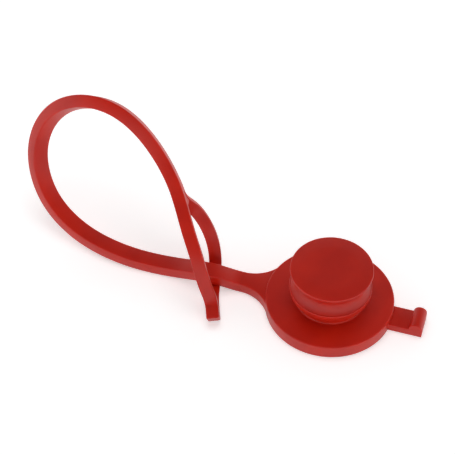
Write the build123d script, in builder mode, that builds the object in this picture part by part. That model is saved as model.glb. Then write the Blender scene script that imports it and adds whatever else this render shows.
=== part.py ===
from build123d import *
from math import sqrt
import os

# Protection plug of a hydraulic quick coupling, moulded from soft plastic in one piece.
#
# The plug stands on a flange. A pull tab grows out of one side of the flange, and a flat
# strap out of the other. The strap ends in an open eye, which is slipped over the strap
# itself, so that the strap makes a noose.
#
# Millimetres, +Z up. The origin is the centre of the flange, on its flat underside.
# +X points to the pull tab, and the strap leaves along -X.

# ---- driving dimensions -------------------------------------------------------------

# flange
flange_radius = 19.0
flange_thickness = 4.5
flange_edge = 0.4

# plug: neck, collar, waist and head, one above the other
neck_radius = 10.2
collar_radius = 12.1
collar_foot = 8.4
collar_slope = 0.9
collar_top = 10.0
waist_radius = 10.2
head_radius = 12.1
head_top = 17.6
head_rim = 0.9
head_fall = 0.2
head_disc_radius = 7.9
groove_shoulder = 0.35
plug_edge = 0.25

# pull tab, with a half-round bead across its end for the fingers
tab_reach = 28.6
tab_width = 7.4
tab_thickness = 2.55
tab_bead_diameter = 3.9
tab_bead_top = 4.8

# strap: a flat bar, with a concave root where it leaves the flange
strap_width = 5.2
strap_thickness = 3.8
strap_edge = 0.4
root_radius = 11.0
root_reach = sqrt((flange_radius + root_radius) ** 2 - (strap_width / 2 + root_radius) ** 2)

# eye: two arms that part at the fork and meet again in the end tab
arm_thickness = 2.0
arm_edge = 0.3
fork_web_length = 4.6
fork_notch_radius = 1.6
fork_notch_depth = 0.6
end_tab_thickness = 4.2
end_tab_length = 3.8

# ---- routes of the strap and of the eye's arms --------------------------------------

# The strap's centre line: over the eye's lower arm, along the table, up and round the
# bow of the noose, and back down to the fork. It starts where the root ends.
strap_bow = [
    (-34.5, -1.9, 5.0),
    (-45.0, -1.0, 3.0),
    (-60.5, -0.7, 2.2),
    (-70.5, 0.5, 3.0),
    (-80.5, 3.5, 4.5),
    (-91.0, 8.5, 10.5),
    (-96.5, 15.5, 22.0),
    (-88.5, 20.0, 39.0),
    (-72.0, 18.5, 44.0),
    (-55.7, 13.3, 33.1),
]
fork_point = (-48.7, 7.1, 26.5)
fork_direction = (0.54, -0.64, -0.55)

# The front arm bulges towards the plug and comes down in front of the strap. The back
# arm drops behind the strap and passes under it, flat on the table.
front_arm_bulge = [(-42.3, -2.9, 21.9), (-38.4, -7.8, 17.5), (-34.9, -11.2, 10.3)]
back_arm_bulge = [(-45.0, 9.5, 19.0), (-39.5, 7.5, 12.5), (-36.5, 4.0, 3.1), (-34.0, -6.5, 2.3)]

# The end tab points down to the table. Its side is the direction from arm to arm.
end_tab_point = (-32.0, -13.5, 4.1)
end_tab_direction = (0.35, -0.85, -0.45)
end_tab_side = (0.05, -0.55, 0.85)


# ---- sub-parts ----------------------------------------------------------------------


def flange_and_plug():
    """Flange, neck, collar, waist and head: one turned body."""
    with BuildPart() as body:
        with BuildSketch(Plane.XZ) as profile:
            with BuildLine():
                rim_foot = head_top - head_fall - head_rim
                waist_foot = (collar_radius - groove_shoulder, collar_top)
                waist_head = (head_radius - groove_shoulder, rim_foot)
                Polyline(
                    (0, 0),
                    (flange_radius, 0),
                    (flange_radius, flange_thickness),
                    (neck_radius, flange_thickness),
                    (neck_radius, collar_foot - collar_slope),
                    (collar_radius, collar_foot),
                    (collar_radius, collar_top),
                    waist_foot,
                )
                ThreePointArc(waist_foot, (waist_radius, (collar_top + rim_foot) / 2), waist_head)
                Polyline(
                    waist_head,
                    (head_radius, rim_foot),
                    (head_radius, head_top - head_fall),
                    (head_disc_radius, head_top),
                    (0, head_top),
                    (0, 0),
                )
            make_face()
            fillet(profile.vertices().group_by(Axis.X)[-1], flange_edge)
            plug_corners = profile.vertices().filter_by(
                lambda corner: corner.X > collar_radius - plug_edge and corner.Y >= collar_foot
            ).filter_by(lambda corner: corner.X <= head_radius)
            fillet(plug_corners, plug_edge)
        revolve(axis=Axis.Z)
    return body.part


def pull_tab():
    """Flat tab with a bead across its end, reaching out of the flange along +X."""
    bead_radius = tab_bead_diameter / 2
    bead_height = tab_bead_top - bead_radius
    with BuildPart() as tab:
        with BuildSketch(Plane.XZ):
            with BuildLine():
                Polyline(
                    (tab_reach, bead_height),
                    (tab_reach, 0),
                    (flange_radius / 2, 0),
                    (flange_radius / 2, tab_thickness),
                    (tab_reach - tab_bead_diameter, tab_thickness),
                    (tab_reach - tab_bead_diameter, bead_height),
                )
                ThreePointArc(
                    (tab_reach - tab_bead_diameter, bead_height),
                    (tab_reach - bead_radius, tab_bead_top),
                    (tab_reach, bead_height),
                )
            make_face()
        extrude(amount=tab_width / 2, both=True)
    return tab.part


def strap_root():
    """Root of the strap: its sides leave the flange's rim and run into the strap's sides."""
    arc_centre_y = strap_width / 2 + root_radius
    rim_share = flange_radius / (flange_radius + root_radius)
    rim_point = (-root_reach * rim_share, arc_centre_y * rim_share)
    with BuildPart() as root:
        with BuildSketch():
            with BuildLine() as half:
                Line((0, 0), rim_point)
                RadiusArc(rim_point, (-root_reach, strap_width / 2), root_radius)
                Line((-root_reach, strap_width / 2), (-root_reach, 0))
                mirror(about=Plane.XZ)
            make_face()
        extrude(amount=strap_thickness)
        side_arcs = root.edges().filter_by(GeomType.CIRCLE)
        fillet(side_arcs, strap_edge)
    return root.part


def flat_bar(route, start_plane, width, edge):
    """Bar of rounded rectangular section, swept along a route without twist."""
    with BuildPart() as bar:
        with BuildSketch(start_plane):
            RectangleRounded(width, strap_thickness, edge)
        sweep(path=route)
    return bar.part


def smooth_line(stations, start_direction, end_direction):
    """Smooth line through the stations, with a given direction at each end."""
    with BuildLine() as line:
        Spline(*stations, tangents=(start_direction, end_direction), tangent_scalars=(1, 1))
    return line.edges()[0]


def strap_bar(root_end):
    """The strap, from the end of its root to the fork."""
    route = smooth_line([root_end.origin, *strap_bow, fork_point], root_end.z_dir, fork_direction)
    return flat_bar(route, root_end, strap_width, strap_edge)


def fork_plane(strap):
    """Plane of the strap's end face, with its X axis pointing to the front arm's side."""
    end_face = strap.faces().sort_by_distance(fork_point)[0]
    long_edge = end_face.edges().sort_by(SortBy.LENGTH)[-1]
    side = (long_edge @ 1) - (long_edge @ 0)
    if side.Y > 0:
        side = side * -1
    return Plane(origin=end_face.center(), x_dir=side, z_dir=fork_direction)


def eye(fork):
    """Two arms, the web between them at the fork, and the end tab that joins them."""
    end_tab = Plane(origin=end_tab_point, x_dir=end_tab_side, z_dir=end_tab_direction)
    fork_offset = (strap_width - arm_thickness) / 2
    end_offset = (end_tab_thickness - arm_thickness) / 2
    routes = []
    arms = []
    for side, bulge in ((1, front_arm_bulge), (-1, back_arm_bulge)):
        start = fork.origin + fork.x_dir * (side * fork_offset)
        finish = end_tab.origin + end_tab.x_dir * (side * end_offset)
        route = smooth_line([start, *bulge, finish], fork.z_dir, end_tab.z_dir)
        start_plane = Plane(origin=start, x_dir=fork.x_dir, z_dir=fork.z_dir)
        routes.append(route)
        arms.append(flat_bar(route, start_plane, arm_thickness, arm_edge))
    with BuildPart() as tab:
        with BuildSketch(end_tab):
            RectangleRounded(end_tab_thickness, strap_thickness, arm_edge)
        extrude(amount=end_tab_length)
    return *arms, fork_web_block(fork, routes), tab.part


def fork_web_block(fork, routes):
    """Wedge that fills the fork between the arms, hollowed where the eye's slot begins."""
    by_length = PositionMode.LENGTH
    front, back = [route.position_at(fork_web_length, by_length) for route in routes]
    front_way, back_way = [route.tangent_at(fork_web_length, by_length) for route in routes]
    web_end = Plane(origin=(front + back) / 2, x_dir=front - back, z_dir=front_way + back_way)
    web_thickness = strap_thickness - 2 * strap_edge
    notch_centre = web_end.origin + web_end.z_dir * (fork_notch_radius - fork_notch_depth)
    with BuildPart() as web:
        with BuildSketch(fork):
            Rectangle(strap_width - arm_thickness, web_thickness)
        with BuildSketch(web_end):
            Rectangle((front - back).length, web_thickness)
        loft()
        with BuildSketch(Plane(origin=notch_centre, x_dir=web_end.x_dir, z_dir=web_end.y_dir)):
            Circle(fork_notch_radius)
        extrude(amount=strap_thickness, both=True, mode=Mode.SUBTRACT)
    return web.part


# ---- the part -----------------------------------------------------------------------
root_end = Plane(origin=(-root_reach, 0, strap_thickness / 2), x_dir=(0, -1, 0), z_dir=(-1, 0, 0))
strap = strap_bar(root_end)
front_arm, back_arm, fork_web, end_tab = eye(fork_plane(strap))

with BuildPart() as protection_cap:
    add(flange_and_plug())
    add(pull_tab())
    add(strap_root())
    add(strap)
    add(front_arm)
    add(back_arm)
    add(fork_web)
    add(end_tab)

os.makedirs("parts", exist_ok=True)
protection_cap.part.label = "protection_cap"
export_step(protection_cap.part, "parts/protection_cap.step")
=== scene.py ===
# %% [markdown]
# A protection plug for a hydraulic quick coupling, moulded in one piece from soft red plastic:
# a waisted plug on a flange, a pull tab, and a flat strap that makes a noose through its own eye.
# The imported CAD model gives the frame. Everything here is in metres, in that frame, +Z up.

# %% Load the frame
import bpy
import bmesh
import math
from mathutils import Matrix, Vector
from mathutils.geometry import interpolate_bezier

import numpy as np


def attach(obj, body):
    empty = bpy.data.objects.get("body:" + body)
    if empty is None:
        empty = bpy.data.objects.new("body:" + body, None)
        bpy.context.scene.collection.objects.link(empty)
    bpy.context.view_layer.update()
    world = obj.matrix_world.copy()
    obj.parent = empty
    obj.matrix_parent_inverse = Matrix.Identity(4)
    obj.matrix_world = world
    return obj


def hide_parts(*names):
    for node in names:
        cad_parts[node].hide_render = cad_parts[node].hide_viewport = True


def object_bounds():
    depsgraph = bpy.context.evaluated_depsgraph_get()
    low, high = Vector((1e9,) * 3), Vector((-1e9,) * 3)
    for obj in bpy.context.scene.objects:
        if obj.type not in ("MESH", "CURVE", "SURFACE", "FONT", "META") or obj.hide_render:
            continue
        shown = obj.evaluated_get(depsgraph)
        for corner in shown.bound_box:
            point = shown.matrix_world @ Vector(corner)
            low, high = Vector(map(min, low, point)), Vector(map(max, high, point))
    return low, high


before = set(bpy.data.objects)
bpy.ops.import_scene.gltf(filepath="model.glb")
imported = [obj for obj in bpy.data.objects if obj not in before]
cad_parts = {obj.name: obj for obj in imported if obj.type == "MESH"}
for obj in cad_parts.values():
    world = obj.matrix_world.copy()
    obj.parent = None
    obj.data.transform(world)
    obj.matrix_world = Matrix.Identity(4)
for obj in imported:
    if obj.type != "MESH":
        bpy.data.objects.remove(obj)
cad_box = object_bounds()
MM = 0.001
print("CAD box in mm:", [[round(value / MM, 1) for value in corner] for corner in cad_box])

# %% [markdown]
# Shader maths could be wired node by node, but it reads best as plain expressions. A small class
# wraps a node's output socket, so that noise * 0.3 + 0.7 adds its own Math nodes. One function
# adds any other node.

# %% A socket that can be calculated with
class Wire:
    """An output socket of a material's node tree, with arithmetic."""

    def __init__(self, tree, socket):
        self.tree = tree
        self.socket = socket

    def math(self, operation, first, second):
        return add_node(self.tree, "ShaderNodeMath", {"operation": operation}, {0: first, 1: second})

    def __add__(self, other):
        return self.math("ADD", self, other)

    def __radd__(self, other):
        return self.math("ADD", other, self)

    def __sub__(self, other):
        return self.math("SUBTRACT", self, other)

    def __rsub__(self, other):
        return self.math("SUBTRACT", other, self)

    def __mul__(self, other):
        return self.math("MULTIPLY", self, other)

    def __rmul__(self, other):
        return self.math("MULTIPLY", other, self)


def add_node(tree, kind, settings=None, inputs=None, output=0):
    """Adds a node, makes its settings first, then its values or links, and gives one output."""
    node = tree.nodes.new(kind)
    for name, value in (settings or {}).items():
        if name == "stops":
            set_stops(node.color_ramp, value)
        else:
            setattr(node, name, value)
    for name, value in (inputs or {}).items():
        if isinstance(value, Wire):
            tree.links.new(value.socket, node.inputs[name])
        else:
            node.inputs[name].default_value = value
    return Wire(tree, node.outputs[output])


def set_stops(ramp, stops):
    """Gives a colour ramp its stops, as pairs of position and colour."""
    while len(ramp.elements) < len(stops):
        ramp.elements.new(1.0)
    for element, (position, colour) in zip(ramp.elements, stops):
        element.position = position
        element.color = colour


def linear(red, green, blue):
    """A screen colour of 0 to 255 as the linear colour that a shader takes."""
    values = [channel / 255 for channel in (red, green, blue)]
    return tuple(v / 12.92 if v <= 0.04045 else ((v + 0.055) / 1.055) ** 2.4 for v in values) + (1.0,)


# %% [markdown]
# The plastic is soft PVC, dyed through. Light enters it a little way and comes out redder, which is
# why its edges and its shaded sides glow. A plain red would do for the colour, but it would look
# like paint, so some of the light goes below the surface. The surface is a satin mould finish with
# a faint waviness, and both come from noise in the object's own space.

# %% Soft red plastic
DEEP_RED = linear(184, 22, 2)
WARM_RED = linear(198, 28, 4)
GLOW_DEPTH = 0.9 * MM
GLOW_SHARE = 0.35
GLOW_SPREAD = (1.0, 0.25, 0.15)
CLOUD_SCALE = 90.0
WAVE_SCALE = 160.0
GRAIN_SCALE = 2600.0
GRAIN_SHARE = 0.25
RELIEF_STRENGTH = 0.12
RELIEF_DEPTH = 0.05 * MM
SATIN = 0.36
SATIN_CHANGE = 0.12
SOFT_SHEEN = 0.45


def soft_plastic():
    """Satin soft PVC: faint clouding of colour and gloss, and a very fine mould texture."""
    material = bpy.data.materials.new("soft_red_plastic")
    material.use_nodes = True
    tree = material.node_tree
    shader = tree.nodes["Principled BSDF"]
    place = add_node(tree, "ShaderNodeTexCoord", output=3)
    clouds, grain, waves = (
        add_node(tree, "ShaderNodeTexNoise", inputs={"Vector": place, "Scale": scale, "Detail": detail})
        for scale, detail in ((CLOUD_SCALE, 3.0), (GRAIN_SCALE, 2.0), (WAVE_SCALE, 1.0))
    )
    colour = add_node(
        tree, "ShaderNodeValToRGB",
        {"stops": ((0.35, DEEP_RED), (0.65, WARM_RED))}, {"Fac": clouds},
    )
    relief = grain * GRAIN_SHARE + waves
    bump = add_node(
        tree, "ShaderNodeBump",
        inputs={"Strength": RELIEF_STRENGTH, "Distance": RELIEF_DEPTH, "Height": relief},
    )
    tree.links.new(colour.socket, shader.inputs["Base Color"])
    tree.links.new((clouds * SATIN_CHANGE + SATIN).socket, shader.inputs["Roughness"])
    tree.links.new(bump.socket, shader.inputs["Normal"])
    shader.inputs["Subsurface Weight"].default_value = GLOW_SHARE
    shader.inputs["Subsurface Radius"].default_value = GLOW_SPREAD
    shader.inputs["Subsurface Scale"].default_value = GLOW_DEPTH
    shader.inputs["IOR"].default_value = 1.5
    shader.inputs["Specular IOR Level"].default_value = SOFT_SHEEN
    return material


plastic = soft_plastic()

# %% [markdown]
# The sizes repeat those of the construction, in millimetres turned to metres. The plug, the tab,
# the strap and the eye are shaped one by one, and then joined into one skin, as they are in the
# mould.

# %% Sizes of the moulding
FLANGE_RADIUS = 19.0 * MM
FLANGE_THICKNESS = 4.5 * MM
FLANGE_EDGE = 0.45 * MM
COLLAR_RADIUS = 12.1 * MM
COLLAR_FOOT = 8.4 * MM
COLLAR_SLOPE = 0.9 * MM
COLLAR_TOP = 10.0 * MM
NECK_RADIUS = 10.2 * MM
WAIST_RADIUS = 10.2 * MM
HEAD_RADIUS = 12.1 * MM
HEAD_TOP = 17.6 * MM
HEAD_RIM = 0.9 * MM
HEAD_FALL = 0.2 * MM
HEAD_DISC_RADIUS = 7.9 * MM
GROOVE_SHOULDER = 0.35 * MM
PLUG_EDGE = 0.28 * MM

TAB_REACH = 28.6 * MM
TAB_WIDTH = 7.4 * MM
TAB_THICKNESS = 2.55 * MM
TAB_BEAD_DIAMETER = 3.9 * MM
TAB_BEAD_TOP = 4.8 * MM
TAB_EDGE = 0.22 * MM

STRAP_WIDTH = 5.2 * MM
STRAP_THICKNESS = 3.8 * MM
STRAP_EDGE = 0.45 * MM
ROOT_RADIUS = 11.0 * MM
ROOT_REACH = math.sqrt((FLANGE_RADIUS + ROOT_RADIUS) ** 2 - (STRAP_WIDTH / 2 + ROOT_RADIUS) ** 2)

ARM_THICKNESS = 2.0 * MM
ARM_EDGE = 0.3 * MM
END_TAB_THICKNESS = 4.2 * MM
END_TAB_LENGTH = 3.8 * MM

# %% [markdown]
# The routes are the same points as in the construction. A smooth line through points is a chain
# of Bezier stretches: its direction at each point is found by asking that the bend doesn't jump
# from one stretch to the next, which is a small set of linear equations.

# %% Routes of the strap and the eye
STRAP_BOW = [
    (-34.5, -1.9, 5.0),
    (-45.0, -1.0, 3.0),
    (-60.5, -0.7, 2.2),
    (-70.5, 0.5, 3.0),
    (-80.5, 3.5, 4.5),
    (-91.0, 8.5, 10.5),
    (-96.5, 15.5, 22.0),
    (-88.5, 20.0, 39.0),
    (-72.0, 18.5, 44.0),
    (-55.7, 13.3, 33.1),
]
FORK_POINT = (-48.7, 7.1, 26.5)
FORK_DIRECTION = (0.54, -0.64, -0.55)
FRONT_ARM_BULGE = [(-42.3, -2.9, 21.9), (-38.4, -7.8, 17.5), (-34.9, -11.2, 10.3)]
BACK_ARM_BULGE = [(-45.0, 9.5, 19.0), (-39.5, 7.5, 12.5), (-36.5, 4.0, 3.1), (-34.0, -6.5, 2.3)]
END_TAB_POINT = (-32.0, -13.5, 4.1)
END_TAB_DIRECTION = (0.35, -0.85, -0.45)
END_TAB_SIDE = (0.05, -0.55, 0.85)


def in_metres(points):
    return [Vector(point) * MM for point in points]


def smooth_directions(points, start, end):
    """Direction at each point of the smoothest line, for chords as its measure."""
    rows = len(points)
    places = np.array([tuple(point) for point in points])
    chords = np.linalg.norm(np.diff(places, axis=0), axis=1)
    matrix = np.zeros((rows, rows))
    wanted = np.zeros((rows, 3))
    matrix[0, 0] = matrix[-1, -1] = 1
    wanted[0] = Vector(start).normalized()
    wanted[-1] = Vector(end).normalized()
    for row in range(1, rows - 1):
        before, after = chords[row - 1], chords[row]
        matrix[row, row - 1:row + 2] = (after, 2 * (before + after), before)
        step_before = (places[row] - places[row - 1]) / before
        step_after = (places[row + 1] - places[row]) / after
        wanted[row] = 3 * (after * step_before + before * step_after)
    return np.linalg.solve(matrix, wanted), chords


def smooth_curve(name, points, start, end):
    """A Bezier curve object along the smooth line through the points."""
    directions, chords = smooth_directions(points, start, end)
    data = bpy.data.curves.new(name, "CURVE")
    data.dimensions = "3D"
    data.resolution_u = 24
    spline = data.splines.new("BEZIER")
    spline.bezier_points.add(len(points) - 1)
    for index, knot in enumerate(spline.bezier_points):
        direction = Vector(directions[index])
        reach_before = chords[max(index - 1, 0)] / 3
        reach_after = chords[min(index, len(chords) - 1)] / 3
        knot.handle_left_type = knot.handle_right_type = "FREE"
        knot.co = points[index]
        knot.handle_left = points[index] - direction * reach_before
        knot.handle_right = points[index] + direction * reach_after
    curve = bpy.data.objects.new(name, data)
    bpy.context.scene.collection.objects.link(curve)
    return curve


# %% [markdown]
# Strap and arms are flat bars that follow a line without twisting. A Geometry Nodes tree sweeps a
# rectangle with rounded corners along the line, and turns it at the start to the side it needs.

# %% A tree that sweeps a flat bar
BAR_SPACING = 0.5 * MM


def group_socket(tree, name, kind, default=None):
    """Adds a named input to the tree and gives its identifier."""
    socket = tree.interface.new_socket(name, in_out="INPUT", socket_type=kind)
    if default is not None:
        socket.default_value = default
    return socket.identifier


def flat_bar_tree():
    """The tree, and the identifiers of its named inputs."""
    tree = bpy.data.node_groups.new("flat_bar", "GeometryNodeTree")
    tree.interface.new_socket("Geometry", in_out="INPUT", socket_type="NodeSocketGeometry")
    tree.interface.new_socket("Geometry", in_out="OUTPUT", socket_type="NodeSocketGeometry")
    names = {}
    for name, default in (
        ("Width", STRAP_WIDTH), ("Thickness", STRAP_THICKNESS), ("Edge Radius", STRAP_EDGE),
        ("Spacing", BAR_SPACING), ("Start Turn", 0.0),
    ):
        names[name] = group_socket(tree, name, "NodeSocketFloat", default)
    names["Material"] = group_socket(tree, "Material", "NodeSocketMaterial")
    given = tree.nodes.new("NodeGroupInput").outputs
    steps = {}
    for step, kind in (
        ("spacing", "GeometryNodeResampleCurve"), ("normal", "GeometryNodeSetCurveNormal"),
        ("turn", "GeometryNodeSetCurveTilt"), ("outline", "GeometryNodeCurvePrimitiveQuadrilateral"),
        ("round", "GeometryNodeFilletCurve"), ("sweep", "GeometryNodeCurveToMesh"),
        ("smooth", "GeometryNodeSetShadeSmooth"), ("real", "GeometryNodeRealizeInstances"),
        ("paint", "GeometryNodeSetMaterial"), ("result", "NodeGroupOutput"),
    ):
        steps[step] = tree.nodes.new(kind)
    steps["spacing"].mode = "LENGTH"
    steps["normal"].mode = "MINIMUM_TWIST"
    steps["round"].mode = "POLY"
    steps["round"].inputs["Count"].default_value = 4
    steps["sweep"].inputs["Fill Caps"].default_value = True
    link = tree.links.new
    link(given["Geometry"], steps["spacing"].inputs["Curve"])
    link(given["Spacing"], steps["spacing"].inputs["Length"])
    link(steps["spacing"].outputs[0], steps["normal"].inputs["Curve"])
    link(steps["normal"].outputs[0], steps["turn"].inputs["Curve"])
    link(given["Start Turn"], steps["turn"].inputs["Tilt"])
    link(steps["turn"].outputs[0], steps["sweep"].inputs["Curve"])
    link(given["Width"], steps["outline"].inputs["Width"])
    link(given["Thickness"], steps["outline"].inputs["Height"])
    link(steps["outline"].outputs[0], steps["round"].inputs["Curve"])
    link(given["Edge Radius"], steps["round"].inputs["Radius"])
    link(steps["round"].outputs[0], steps["sweep"].inputs["Profile Curve"])
    link(steps["sweep"].outputs[0], steps["smooth"].inputs["Geometry"])
    link(steps["smooth"].outputs[0], steps["real"].inputs["Geometry"])
    link(steps["real"].outputs[0], steps["paint"].inputs["Geometry"])
    link(given["Material"], steps["paint"].inputs["Material"])
    link(steps["paint"].outputs[0], steps["result"].inputs["Geometry"])
    return tree, names


bar_tree, bar_inputs = flat_bar_tree()


def start_turn(direction, side):
    """Angle from the level side of a line to the side that the bar's width follows there."""
    direction = Vector(direction).normalized()
    level = Vector((direction.y, -direction.x, 0)).normalized()
    return math.atan2(direction.dot(level.cross(side)), level.dot(side))


def new_mesh_object(name, mesh):
    piece = bpy.data.objects.new(name, mesh)
    bpy.context.scene.collection.objects.link(piece)
    return piece


def flat_bar(name, points, start, end, side, width, edge):
    """A plain mesh of a flat bar along the smooth line through the points."""
    curve = smooth_curve(name + "_line", points, start, end)
    modifier = curve.modifiers.new("bar", "NODES")
    modifier.node_group = bar_tree
    for key, value in (
        ("Width", width), ("Thickness", STRAP_THICKNESS), ("Edge Radius", edge),
        ("Spacing", BAR_SPACING), ("Start Turn", start_turn(start, side)), ("Material", plastic),
    ):
        modifier[bar_inputs[key]] = value
    bpy.context.view_layer.update()
    evaluated = curve.evaluated_get(bpy.context.evaluated_depsgraph_get())
    mesh = bpy.data.meshes.new_from_object(evaluated)
    bpy.data.objects.remove(curve)
    print(name, "has", len(mesh.polygons), "faces")
    return new_mesh_object(name, mesh)


# %% [markdown]
# The strap is one bar from the root to the fork. There it splits across its width into the two
# arms of the eye, which are as thick as the strap and meet again in the end tab. Bars along lines
# fit this better than a bent grid, because the real strap is flat stock that is only bent.

# %% Strap and eye
ARM_OVERLAP = 0.3 * MM


def square_to(way, side):
    """The side's direction, made square to the way."""
    side = Vector(side)
    return (side - way * way.dot(side)).normalized()


FORK_WAY = Vector(FORK_DIRECTION).normalized()
FORK_SIDE = square_to(FORK_WAY, (0.18, -0.79, 0.59))
END_WAY = Vector(END_TAB_DIRECTION).normalized()
END_SIDE = square_to(END_WAY, END_TAB_SIDE)
FORK = Vector(FORK_POINT) * MM
END_TAB = Vector(END_TAB_POINT) * MM
ROOT_END = Vector((-ROOT_REACH, 0, STRAP_THICKNESS / 2))
ALONG_MINUS_X = Vector((-1, 0, 0))

strap = flat_bar(
    "strap", [ROOT_END, *in_metres(STRAP_BOW), FORK], ALONG_MINUS_X, FORK_WAY,
    Vector((0, -1, 0)), STRAP_WIDTH, STRAP_EDGE,
)


def arm_ends(sign):
    """Where an arm's middle leaves the fork and reaches the end tab."""
    first = FORK + FORK_SIDE * sign * (STRAP_WIDTH - ARM_THICKNESS) / 2
    last = END_TAB + END_SIDE * sign * (END_TAB_THICKNESS - ARM_THICKNESS) / 2
    return first, last


arms = []
for name, sign, bulge in (("front_arm", 1, FRONT_ARM_BULGE), ("back_arm", -1, BACK_ARM_BULGE)):
    first, last = arm_ends(sign)
    arms.append(flat_bar(
        name, [first - FORK_WAY * ARM_OVERLAP, *in_metres(bulge), last + END_WAY * ARM_OVERLAP],
        FORK_WAY, END_WAY, FORK_SIDE, ARM_THICKNESS, ARM_EDGE,
    ))

# %% [markdown]
# The other shapes are skins over a row of outlines: rings round the axis for the turned plug, and
# rounded rectangles for the strap's root, the fork's web, the end tab and the pull tab. One helper
# closes the skin between any such outlines.

# %% A skin over a row of outlines
def skin(name, outlines):
    """Closed mesh whose quads join each outline to the next, with a cap at each end."""
    mesh = bpy.data.meshes.new(name)
    build = bmesh.new()
    rings = [[build.verts.new(point) for point in outline] for outline in outlines]
    for one, two in zip(rings, rings[1:]):
        for index in range(len(one)):
            after = (index + 1) % len(one)
            build.faces.new((one[index], one[after], two[after], two[index]))
    build.faces.new(rings[0])
    build.faces.new(rings[-1])
    bmesh.ops.recalc_face_normals(build, faces=build.faces)
    build.to_mesh(mesh)
    build.free()
    mesh.materials.append(plastic)
    return new_mesh_object(name, mesh)


def rounded_rectangle(centre, wide, high, width, height, edge, steps=4):
    """Outline of a rectangle with rounded corners, spanned by two directions."""
    outline = []
    for quarter, (side, top) in enumerate(((1, 1), (-1, 1), (-1, -1), (1, -1))):
        for step in range(steps + 1):
            angle = (quarter + step / steps) * math.pi / 2
            x = side * (width / 2 - edge) + edge * math.cos(angle)
            y = top * (height / 2 - edge) + edge * math.sin(angle)
            outline.append(centre + wide * x + high * y)
    return outline


# %% [markdown]
# The plug is turned: its half outline is a short list of corners, each with its own rounding, and
# one arc for the waist. It could be joined from cylinders, but one outline keeps the roundings in
# one place. A rounded corner is replaced by an arc that touches both its sides.

# %% Plug and flange
TURNS = 180
ARC_STEPS = 6
WAIST_STEPS = 24
DISC_ROUNDING = 6 * MM
UNDERSIDE_FLAT = 4 * MM
HEAD_FLAT = 1.5 * MM


def rounded_corner(before, corner, after, radius, steps=ARC_STEPS):
    """Points of the arc that rounds a corner of an outline in the plane of radius and height."""
    to_before = (Vector(before) - Vector(corner)).normalized()
    to_after = (Vector(after) - Vector(corner)).normalized()
    half = to_before.angle(to_after) / 2
    reach = radius / math.tan(half)
    centre = Vector(corner) + (to_before + to_after).normalized() * (radius / math.sin(half))
    first = Vector(corner) + to_before * reach - centre
    last = Vector(corner) + to_after * reach - centre
    return [centre + first.slerp(last, step / steps) * radius for step in range(steps + 1)]


def arc_through(first, middle, last, steps):
    """Points of the arc through three points, by the circle's centre."""
    (ax, ay), (bx, by), (cx, cy) = first, middle, last
    twice = 2 * (ax * (by - cy) + bx * (cy - ay) + cx * (ay - by))
    a2, b2, c2 = ax * ax + ay * ay, bx * bx + by * by, cx * cx + cy * cy
    centre = Vector((
        (a2 * (by - cy) + b2 * (cy - ay) + c2 * (ay - by)) / twice,
        (a2 * (cx - bx) + b2 * (ax - cx) + c2 * (bx - ax)) / twice,
    ))
    one, two = Vector(first) - centre, Vector(last) - centre
    return [centre + one.slerp(two, step / steps) * one.length for step in range(steps + 1)]


def plug_outline():
    """Half outline from the underside, up the rim, neck, collar and waist, to the head."""
    rim_foot = HEAD_TOP - HEAD_FALL - HEAD_RIM
    rim_top = HEAD_TOP - HEAD_FALL
    waist_foot = (COLLAR_RADIUS - GROOVE_SHOULDER, COLLAR_TOP)
    waist_head = (HEAD_RADIUS - GROOVE_SHOULDER, rim_foot)
    foot = (NECK_RADIUS, FLANGE_THICKNESS)
    neck_top = (NECK_RADIUS, COLLAR_FOOT - COLLAR_SLOPE)
    collar_edge = (COLLAR_RADIUS, COLLAR_FOOT)
    rim_low = (FLANGE_RADIUS, 0)
    rim_high = (FLANGE_RADIUS, FLANGE_THICKNESS)
    head_edge = (HEAD_RADIUS, rim_top)
    disc_edge = (HEAD_DISC_RADIUS, HEAD_TOP)
    outline = [Vector((FLANGE_RADIUS - UNDERSIDE_FLAT, 0))]
    outline += rounded_corner((0, 0), rim_low, rim_high, FLANGE_EDGE / 2)
    outline += rounded_corner(rim_low, rim_high, foot, FLANGE_EDGE)
    outline += rounded_corner(rim_high, foot, neck_top, FLANGE_EDGE)
    outline += rounded_corner(foot, neck_top, collar_edge, FLANGE_EDGE)
    outline += rounded_corner(neck_top, collar_edge, (COLLAR_RADIUS, COLLAR_TOP), PLUG_EDGE)
    outline += rounded_corner(collar_edge, (COLLAR_RADIUS, COLLAR_TOP), waist_foot, PLUG_EDGE)
    outline += arc_through(waist_foot, (WAIST_RADIUS, (COLLAR_TOP + rim_foot) / 2), waist_head, WAIST_STEPS)
    outline += rounded_corner(waist_head, (HEAD_RADIUS, rim_foot), head_edge, PLUG_EDGE)
    outline += rounded_corner((HEAD_RADIUS, rim_foot), head_edge, disc_edge, PLUG_EDGE)
    outline += rounded_corner(head_edge, disc_edge, (0, HEAD_TOP), DISC_ROUNDING)
    outline.append(Vector((HEAD_FLAT, HEAD_TOP)))
    return outline


def turned(name, outline):
    """Rings round the plug's axis, one for each point of the outline."""
    rings = []
    for radius, height in outline:
        turn = [2 * math.pi * step / TURNS for step in range(TURNS)]
        rings.append([Vector((radius * math.cos(a), radius * math.sin(a), height)) for a in turn])
    return skin(name, rings)


plug = turned("plug", plug_outline())


# %% [markdown]
# The strap's root is as thick as the strap. Its width follows the two arcs that leave the flange's
# rim and touch the strap's sides, so each outline is a rounded rectangle of the width found there.

# %% Root of the strap
ROOT_STEPS = 24
ROOT_OVERLAP = 0.4 * MM
ROOT_JOIN = 0.02 * MM


def root_half_width(distance):
    """Half width of the root at a distance from the plug's axis, inside the arcs' reach."""
    return STRAP_WIDTH / 2 + ROOT_RADIUS - math.sqrt(ROOT_RADIUS ** 2 - (ROOT_REACH - distance) ** 2)


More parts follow.
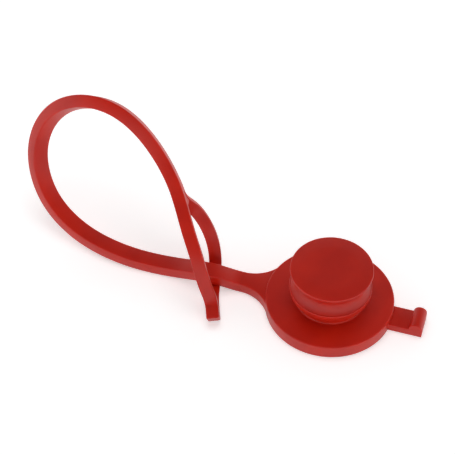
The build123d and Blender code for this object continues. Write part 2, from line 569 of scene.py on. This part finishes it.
def strap_root():
    """Skin from inside the flange's rim to the start of the strap."""
    rim_touch = ROOT_REACH * FLANGE_RADIUS / (FLANGE_RADIUS + ROOT_RADIUS)
    start = rim_touch - ROOT_OVERLAP
    outlines = []
    for step in range(ROOT_STEPS + 1):
        distance = start + (ROOT_REACH + ROOT_JOIN - start) * step / ROOT_STEPS
        width = 2 * root_half_width(min(distance, ROOT_REACH))
        centre = Vector((-distance, 0, STRAP_THICKNESS / 2))
        outlines.append(rounded_rectangle(
            centre, Vector((0, 1, 0)), Vector((0, 0, 1)), width, STRAP_THICKNESS, STRAP_EDGE,
        ))
    return skin("strap_root", outlines)


root = strap_root()

# %% [markdown]
# Where the arms part, the mould leaves a web between them, down to the rounded top of the slot. It
# has to follow both arms, so its outlines run between points at the same share of both lines. The
# end tab is a plain block with soft ends, in line with the arms' far ends.

# %% Web in the fork, and the end tab
WEB_LENGTH = 4.1 * MM
WEB_POINTS = 16
WEB_INSET = 0.12 * MM
END_TAB_EDGE = 0.4 * MM
END_TAB_OUTLINES = (
    (-0.6 * MM, 0.12 * MM),
    (0.0, 0.0),
    (END_TAB_LENGTH - 0.35 * MM, 0.0),
    (END_TAB_LENGTH - 0.1 * MM, 0.1 * MM),
    (END_TAB_LENGTH, 0.35 * MM),
)
fork_high = FORK_WAY.cross(FORK_SIDE)
end_high = END_WAY.cross(END_SIDE)


def first_stretch(bulge, sign):
    """Points along an arm from the fork to its first station."""
    first, last = arm_ends(sign)
    points = [first, *in_metres(bulge), last]
    directions, chords = smooth_directions(points, FORK_WAY, END_WAY)
    leaving = first + Vector(directions[0]) * chords[0] / 3
    arriving = points[1] - Vector(directions[1]) * chords[0] / 3
    return interpolate_bezier(first, leaving, arriving, points[1], WEB_POINTS)


def fork_web():
    """Fills the wedge between the arms down to the top of the eye's slot."""
    outlines = []
    pairs = zip(first_stretch(FRONT_ARM_BULGE, 1), first_stretch(BACK_ARM_BULGE, -1))
    for front, back in pairs:
        centre = (front + back) / 2
        if (centre - FORK).length > WEB_LENGTH:
            break
        wide = (front - back).normalized()
        width = (front - back).length
        outlines.append(rounded_rectangle(
            centre, wide, fork_high, width, STRAP_THICKNESS - 2 * WEB_INSET, WEB_INSET,
        ))
    return skin("fork_web", outlines)


web = fork_web()


def end_tab_block():
    """A block whose outlines draw in at the arms and at its free end."""
    outlines = []
    for distance, inset in END_TAB_OUTLINES:
        outlines.append(rounded_rectangle(
            END_TAB + END_WAY * distance, END_SIDE, end_high,
            END_TAB_THICKNESS - 2 * inset, STRAP_THICKNESS - 2 * inset, END_TAB_EDGE,
        ))
    return skin("end_tab", outlines)


end_tab = end_tab_block()


# %% [markdown]
# The pull tab is flat, with a half-round bead across its end. Its side outline is pulled straight
# across the tab's width, and a bevel rounds the edges.

# %% Pull tab
BEVEL_ANGLE = math.radians(40)
BEAD_STEPS = 24


def rounded_edges(piece, radius, steps=4):
    """The same piece with its sharp edges rounded, as a plain mesh."""
    modifier = piece.modifiers.new("edges", "BEVEL")
    modifier.width = radius
    modifier.segments = steps
    modifier.limit_method = "ANGLE"
    modifier.angle_limit = BEVEL_ANGLE
    return plain(piece)


def plain(piece):
    """Turns a piece and its modifiers into a plain mesh."""
    bpy.context.view_layer.update()
    evaluated = piece.evaluated_get(bpy.context.evaluated_depsgraph_get())
    mesh = bpy.data.meshes.new_from_object(evaluated)
    piece.modifiers.clear()
    piece.data = mesh
    return piece


def pull_tab():
    """The tab's side outline, pulled across its width."""
    bead = TAB_BEAD_DIAMETER / 2
    bead_height = TAB_BEAD_TOP - bead
    neck = TAB_REACH - TAB_BEAD_DIAMETER
    side = [(FLANGE_RADIUS / 2, 0), (TAB_REACH, 0)]
    for step in range(BEAD_STEPS + 1):
        angle = math.pi * step / BEAD_STEPS
        side.append((TAB_REACH - bead + bead * math.cos(angle), bead_height + bead * math.sin(angle)))
    side += [(neck, TAB_THICKNESS), (FLANGE_RADIUS / 2, TAB_THICKNESS)]
    outlines = [[Vector((x, y, z)) for x, z in side] for y in (-TAB_WIDTH / 2, TAB_WIDTH / 2)]
    return rounded_edges(skin("pull_tab", outlines), TAB_EDGE)


tab = pull_tab()

# %% [markdown]
# On the real object all of this is one moulding, so the shapes are joined into one skin. The exact
# union works on closed meshes and leaves none of the hidden walls.

# %% One moulding
SMOOTH_ANGLE = math.radians(32)


def joined(name, first, others):
    """The first piece with the others joined to it one by one, smooth but for its sharp edges."""
    for other in others:
        union = first.modifiers.new("join", "BOOLEAN")
        union.operation = "UNION"
        union.solver = "EXACT"
        union.object = other
        plain(first)
        bpy.data.objects.remove(other)
    first.name = name
    first.data.name = name
    for polygon in first.data.polygons:
        polygon.use_smooth = True
    first.data.set_sharp_from_angle(angle=SMOOTH_ANGLE)
    print(name, "has", len(first.data.polygons), "faces")
    return first


moulding = joined("plug_moulding", plug, [root, tab, strap, arms[0], arms[1], web, end_tab])
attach(moulding, "root")
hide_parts("protection_cap")

# %% [markdown]
# The plug stands on a white table in a white studio. The camera sees white all round. The light
# that reaches the plug is another matter: it comes from a bright horizon, and the ceiling is dim,
# so the upright sides come out lighter than the flat tops. The table adds a glow of its own for
# the camera and for reflections only, which makes it white and still leaves it the plug's shadow.

# %% White table and surroundings
TABLE_HALF = 1.2
TABLE_FILL = 0.45
TABLE_GAP = 0.02 * MM
TABLE_WHITE = (0.9, 0.9, 0.9, 1)
CEILING = 0.16
HORIZON = 2.5
HORIZON_TOP = 0.05
CEILING_START = 0.55


def seen_rays(tree):
    """1 for rays from the camera, in a reflection or through a clear piece, and 0 for all others."""
    rays = [add_node(tree, "ShaderNodeLightPath", output=name)
            for name in ("Is Camera Ray", "Is Glossy Ray", "Is Transmission Ray")]
    return rays[0].math("MAXIMUM", rays[0], rays[1].math("MAXIMUM", rays[1], rays[2]))


def studio_world():
    """White all round to the camera. In reflections the ceiling is dim, and nothing passes white."""
    world = bpy.data.worlds.new("studio")
    bpy.context.scene.world = world
    world.use_nodes = True
    tree = world.node_tree
    place = add_node(tree, "ShaderNodeTexCoord")
    height = add_node(tree, "ShaderNodeSeparateXYZ", inputs={"Vector": place}, output=2)
    room = add_node(
        tree, "ShaderNodeMapRange", {"interpolation_type": "SMOOTHSTEP"},
        {"Value": height, "From Min": HORIZON_TOP, "From Max": CEILING_START,
         "To Min": HORIZON, "To Max": CEILING},
    )
    glossy = add_node(tree, "ShaderNodeLightPath", output="Is Glossy Ray")
    camera_ray = add_node(tree, "ShaderNodeLightPath", output="Is Camera Ray")
    clear_ray = add_node(tree, "ShaderNodeLightPath", output="Is Transmission Ray")
    seen = camera_ray.math("MAXIMUM", camera_ray, clear_ray)
    room = room - glossy * (room - room.math("MINIMUM", room, 1.0))
    background = tree.nodes["Background"]
    background.inputs["Color"].default_value = (1, 1, 1, 1)
    tree.links.new((seen * (1 - room) + room).socket, background.inputs["Strength"])


def white_table():
    """A matt white table. Its glow fills it up to white, and lights nothing."""
    mesh = bpy.data.meshes.new("table")
    ends = (-TABLE_HALF, TABLE_HALF)
    mesh.from_pydata([(x, y, 0) for x in ends for y in ends], [], [(0, 2, 3, 1)])
    table = bpy.data.objects.new("table", mesh)
    bpy.context.scene.collection.objects.link(table)
    material = bpy.data.materials.new("white_table")
    material.use_nodes = True
    tree = material.node_tree
    shader = tree.nodes["Principled BSDF"]
    shader.inputs["Base Color"].default_value = TABLE_WHITE
    shader.inputs["Roughness"].default_value = 1.0
    shader.inputs["Emission Strength"].default_value = 1.0
    tree.links.new((seen_rays(tree) * TABLE_FILL).socket, shader.inputs["Emission Color"])
    mesh.materials.append(material)
    table.location.z = cad_box[0][2] - TABLE_GAP


studio_world()
white_table()

# %% [markdown]
# One large lamp above gives the tops their light and the collar its shadow on the flange. It
# stays out of reflections, because a lamp's bright patch would take away the plastic's satin look.

# %% Soft lamp
LAMP_PLACE = (-0.05, 0.05, 0.6)
LAMP_TARGET = (-0.03, 0, 0.01)
LAMP_SIZE = 0.4
LAMP_POWER = 1.2


def soft_lamp(name, place, target, size, power):
    """A square lamp that points at its target and doesn't show in reflections."""
    data = bpy.data.lights.new(name, "AREA")
    data.size = size
    data.energy = power
    lamp = bpy.data.objects.new(name, data)
    lamp.location = place
    lamp.visible_glossy = False
    lamp.rotation_euler = (Vector(target) - Vector(place)).to_track_quat("-Z", "Y").to_euler()
    bpy.context.scene.collection.objects.link(lamp)


soft_lamp("key", LAMP_PLACE, LAMP_TARGET, LAMP_SIZE, LAMP_POWER)

# %% [markdown]
# The camera looks down at the plug from in front and a little to its right, from near enough for
# a slight perspective.

# %% Camera
CAMERA_PLACE = (0.05363, -0.28135, 0.3550)
CAMERA_TILT = math.radians(41.68)
CAMERA_TURN = math.radians(16.83)
CAMERA_LENS = 121.2
CAMERA_SENSOR = 36.0

camera_data = bpy.data.cameras.new("camera")
camera_data.lens = CAMERA_LENS
camera_data.sensor_width = CAMERA_SENSOR
camera = bpy.data.objects.new("camera", camera_data)
camera.location = CAMERA_PLACE
camera.rotation_euler = (CAMERA_TILT, 0, CAMERA_TURN)
bpy.context.scene.collection.objects.link(camera)
bpy.context.scene.camera = camera
bpy.context.scene.view_settings.view_transform = "Standard"
